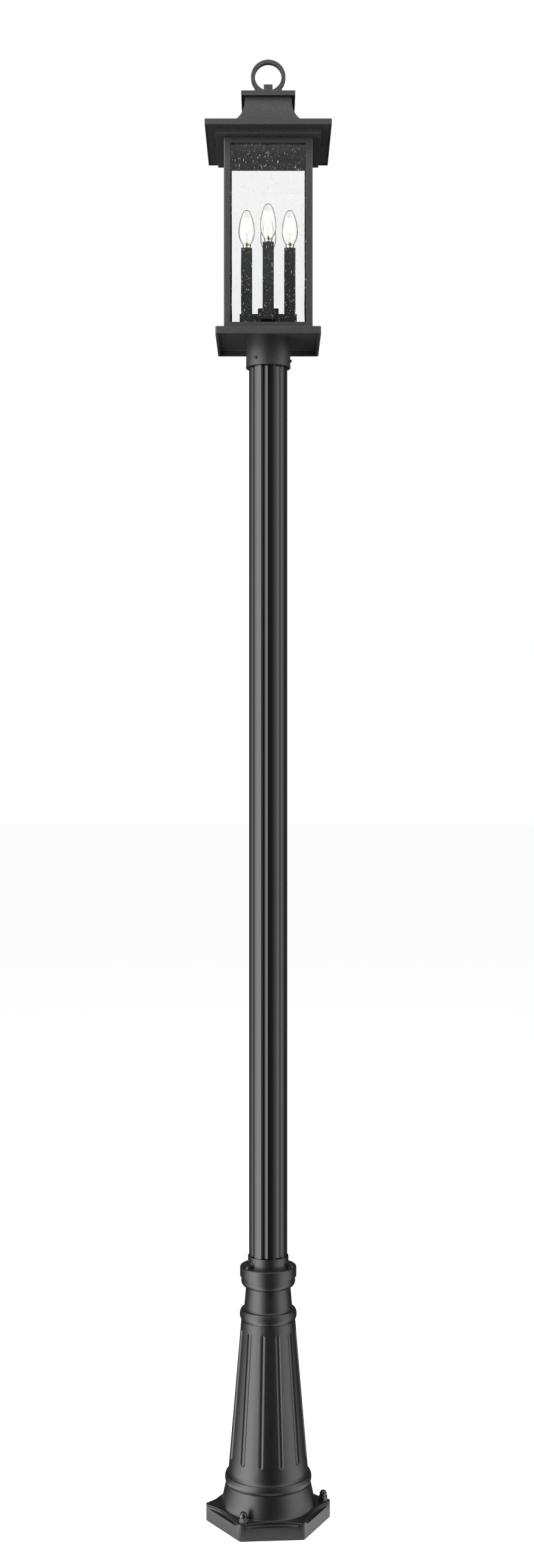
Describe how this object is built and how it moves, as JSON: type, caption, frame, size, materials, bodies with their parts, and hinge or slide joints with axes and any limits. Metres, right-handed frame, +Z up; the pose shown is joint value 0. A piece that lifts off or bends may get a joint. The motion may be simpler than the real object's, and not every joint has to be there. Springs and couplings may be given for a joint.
{
  "type": "four-light post light",
  "caption": "Black garden post light: square lantern with seeded glass panes and candle lamps on a fluted post in a fluted cast base with a hexagonal foot.",
  "frame": {"origin": "on the ground at the centre of the hexagonal foot, which is the centre of the bounding box's bottom", "axes": "+Z up along the post, -Y is the front of the lantern, +X to the right seen from the front"},
  "size_m": [0.2466, 0.245, 2.9052],
  "materials": {
    "lantern_black": "black powder coat with a fine sand texture",
    "post_black": "smooth satin black powder coat on extruded aluminium",
    "cast_black": "satin black powder coat on cast aluminium",
    "fastener_black": "glossy black coated steel",
    "zinc_steel": "zinc plated steel",
    "seeded_glass": "clear seeded glass with drawn-out bubbles",
    "lamp_glass": "clear thin lamp glass, lit from inside",
    "lamp_stem_glass": "clear glass stem",
    "lamp_filament": "phosphor coated filament, lit",
    "lamp_brass": "nickel and brass plated sheet",
    "holder_plastic": "moulded black phenolic",
    "lead_cover": "white wire covering"
  },
  "bodies": {
    "base": {"base_casting": "cast_black", "anchor_washers": "fastener_black", "anchor_nuts": "fastener_black", "post_socket": "cast_black", "socket_screws": "fastener_black", "socket_set_screws": "fastener_black"},
    "post": {"post_tube": "post_black"},
    "lantern": {"post_fitter": "lantern_black", "fitter_set_screws": "fastener_black", "base_plate": "lantern_black", "cable_nipple": "zinc_steel", "nipple_nuts": "zinc_steel", "corner_posts": "lantern_black", "bottom_rails": "lantern_black", "top_rails": "lantern_black", "glass_front": "seeded_glass", "glass_right": "seeded_glass", "glass_back": "seeded_glass", "glass_left": "seeded_glass", "glass_clips": "lantern_black", "crown_frame": "lantern_black", "cross_strap": "lantern_black", "strap_nut": "fastener_black", "strap_screws": "fastener_black", "cluster_hub": "lantern_black", "hub_cover": "lantern_black", "lamp_arms": "lantern_black", "candle_sleeves": "lantern_black", "lampholders": "holder_plastic", "lampholder_contacts": "lamp_brass", "terminal_block": "holder_plastic", "lamp_leads": "lead_cover"},
    "roof": {"roof_shell": "lantern_black", "roof_pan": "lantern_black", "roof_screws": "fastener_black", "roof_cap": "lantern_black", "finial_plate": "lantern_black"},
    "finial": {"loop_block": "lantern_black", "loop_ring": "lantern_black", "finial_stud": "zinc_steel"},
    "lamp_right": {"bulb_base_right": "lamp_brass", "bulb_glass_right": "lamp_glass", "bulb_stem_right": "lamp_stem_glass", "bulb_filaments_right": "lamp_filament"},
    "lamp_back": {"bulb_base_back": "lamp_brass", "bulb_glass_back": "lamp_glass", "bulb_stem_back": "lamp_stem_glass", "bulb_filaments_back": "lamp_filament"},
    "lamp_left": {"bulb_base_left": "lamp_brass", "bulb_glass_left": "lamp_glass", "bulb_stem_left": "lamp_stem_glass", "bulb_filaments_left": "lamp_filament"},
    "lamp_front": {"bulb_base_front": "lamp_brass", "bulb_glass_front": "lamp_glass", "bulb_stem_front": "lamp_stem_glass", "bulb_filaments_front": "lamp_filament"}
  },
  "joints": [
    {"name": "post_turn", "type": "hinge", "parent": "base", "child": "post", "pos_m": [0, 0, 0.396], "axis": [0, 0, 1], "range_deg": [-180, 180]},
    {"name": "lantern_turn", "type": "hinge", "parent": "post", "child": "lantern", "pos_m": [0, 0, 2.341], "axis": [0, 0, 1], "range_deg": [-180, 180]},
    {"name": "roof_lift", "type": "slide", "parent": "lantern", "child": "roof", "axis": [0, 0, 1], "range_m": [0, 0.16]},
    {"name": "finial_turn", "type": "hinge", "parent": "roof", "child": "finial", "pos_m": [0, 0, 2.836], "axis": [0, 0, 1], "range_deg": [0, 2880]},
    {"name": "lamp_right_turn", "type": "hinge", "parent": "lantern", "child": "lamp_right", "pos_m": [0.043, 0, 2.52], "axis": [0, 0, 1], "range_deg": [0, 1080]},
    {"name": "lamp_back_turn", "type": "hinge", "parent": "lantern", "child": "lamp_back", "pos_m": [0, 0.043, 2.52], "axis": [0, 0, 1], "range_deg": [0, 1080]},
    {"name": "lamp_left_turn", "type": "hinge", "parent": "lantern", "child": "lamp_left", "pos_m": [-0.043, 0, 2.52], "axis": [0, 0, 1], "range_deg": [0, 1080]},
    {"name": "lamp_front_turn", "type": "hinge", "parent": "lantern", "child": "lamp_front", "pos_m": [0, -0.043, 2.52], "axis": [0, 0, 1], "range_deg": [0, 1080]}
  ]
}
